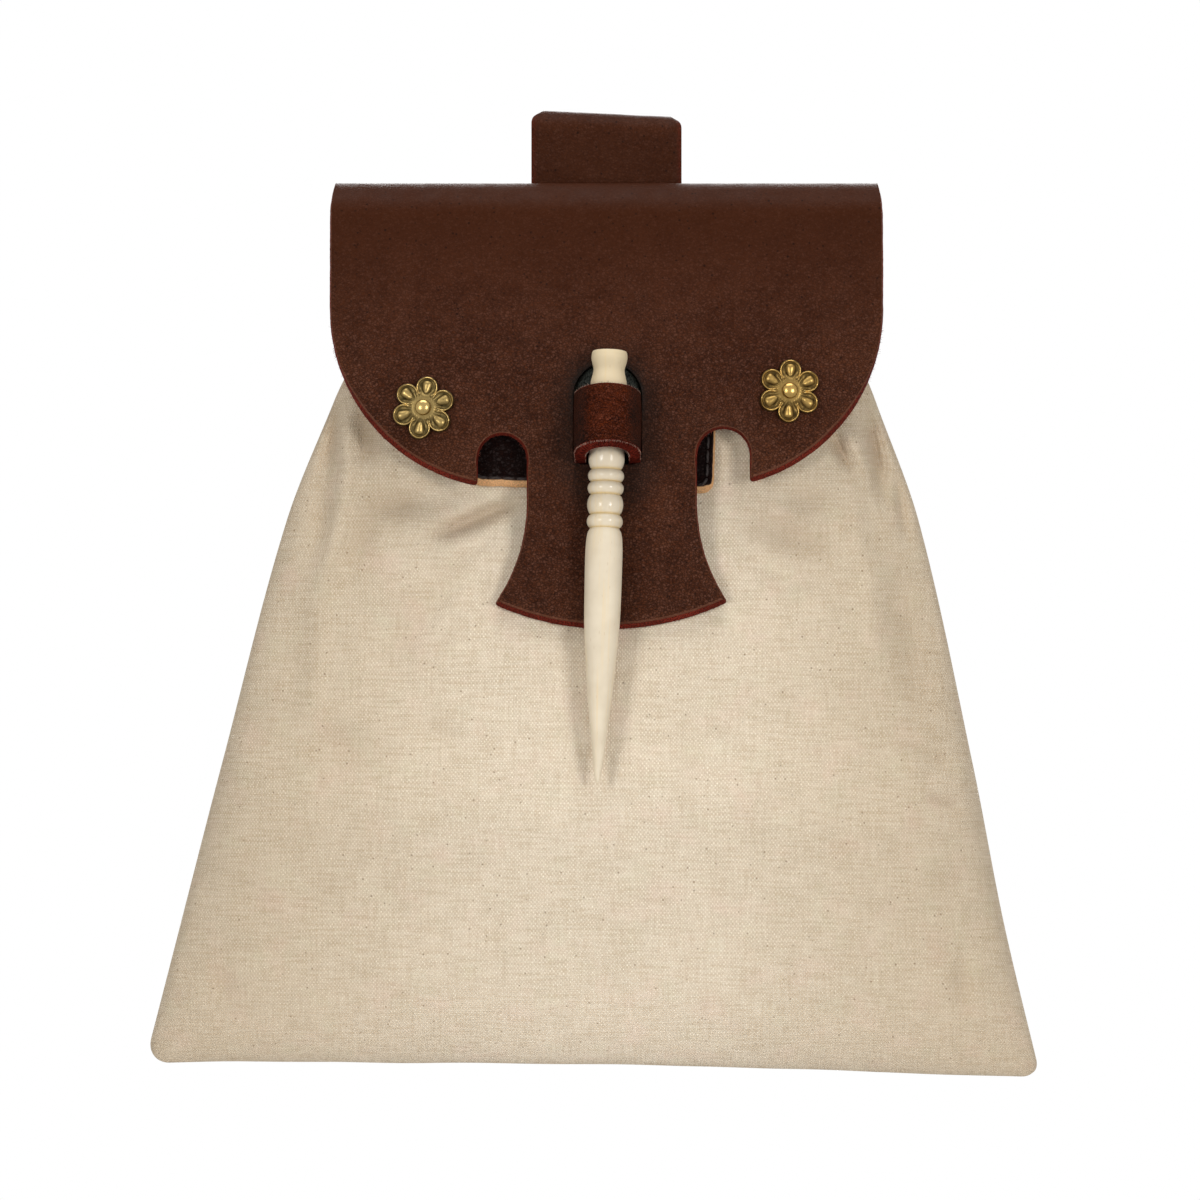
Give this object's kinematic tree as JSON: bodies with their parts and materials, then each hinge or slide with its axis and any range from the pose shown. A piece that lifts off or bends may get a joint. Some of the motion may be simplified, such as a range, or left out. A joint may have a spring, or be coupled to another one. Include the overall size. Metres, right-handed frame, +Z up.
{
  "type": "belt bag",
  "caption": "Canvas belt pouch hung from a leather loop, closed by a leather flap with brass flower studs and a turned bone pin pushed down through a leather loop.",
  "frame": {"origin": "centre of the opening that the belt passes through, inside the belt loop at the top of the bag's back", "axes": "+Z up as the bag hangs, -Y out of the bag's front, +X to the viewer's right, along the belt"},
  "size_m": [0.2298, 0.0593, 0.2505],
  "materials": {
    "canvas": "plain-weave undyed cotton canvas, matt",
    "brown_leather": "dark red-brown vegetable-tanned leather, satin",
    "rough_leather": "thick dark red-brown leather with a rough surface",
    "dark_leather": "nearly black leather with tan cut edges",
    "brass": "aged pressed brass",
    "bone": "polished cream bone",
    "thread": "waxed black sewing thread"
  },
  "bodies": {
    "bag": {"canvas_front": "canvas", "canvas_back": "canvas", "pouch_seam_thread": "thread", "leather_back_and_flap": "brown_leather", "back_panel_thread": "thread", "belt_loop": "brown_leather", "belt_loop_thread": "thread", "closure_patch": "dark_leather", "patch_thread": "thread", "closure_loop": "rough_leather", "left_tab_thread": "thread", "right_tab_thread": "thread", "left_rosette": "brass", "right_rosette": "brass", "left_rivet": "brass", "right_rivet": "brass", "left_rivet_washer": "brass", "right_rivet_washer": "brass"},
    "pin": {"bone_pin": "bone"}
  },
  "joints": [
    {"name": "pin_pull", "type": "slide", "parent": "bag", "child": "pin", "axis": [0.0279, 0.1368, 0.9902], "range_m": [0, 0.1]}
  ]
}
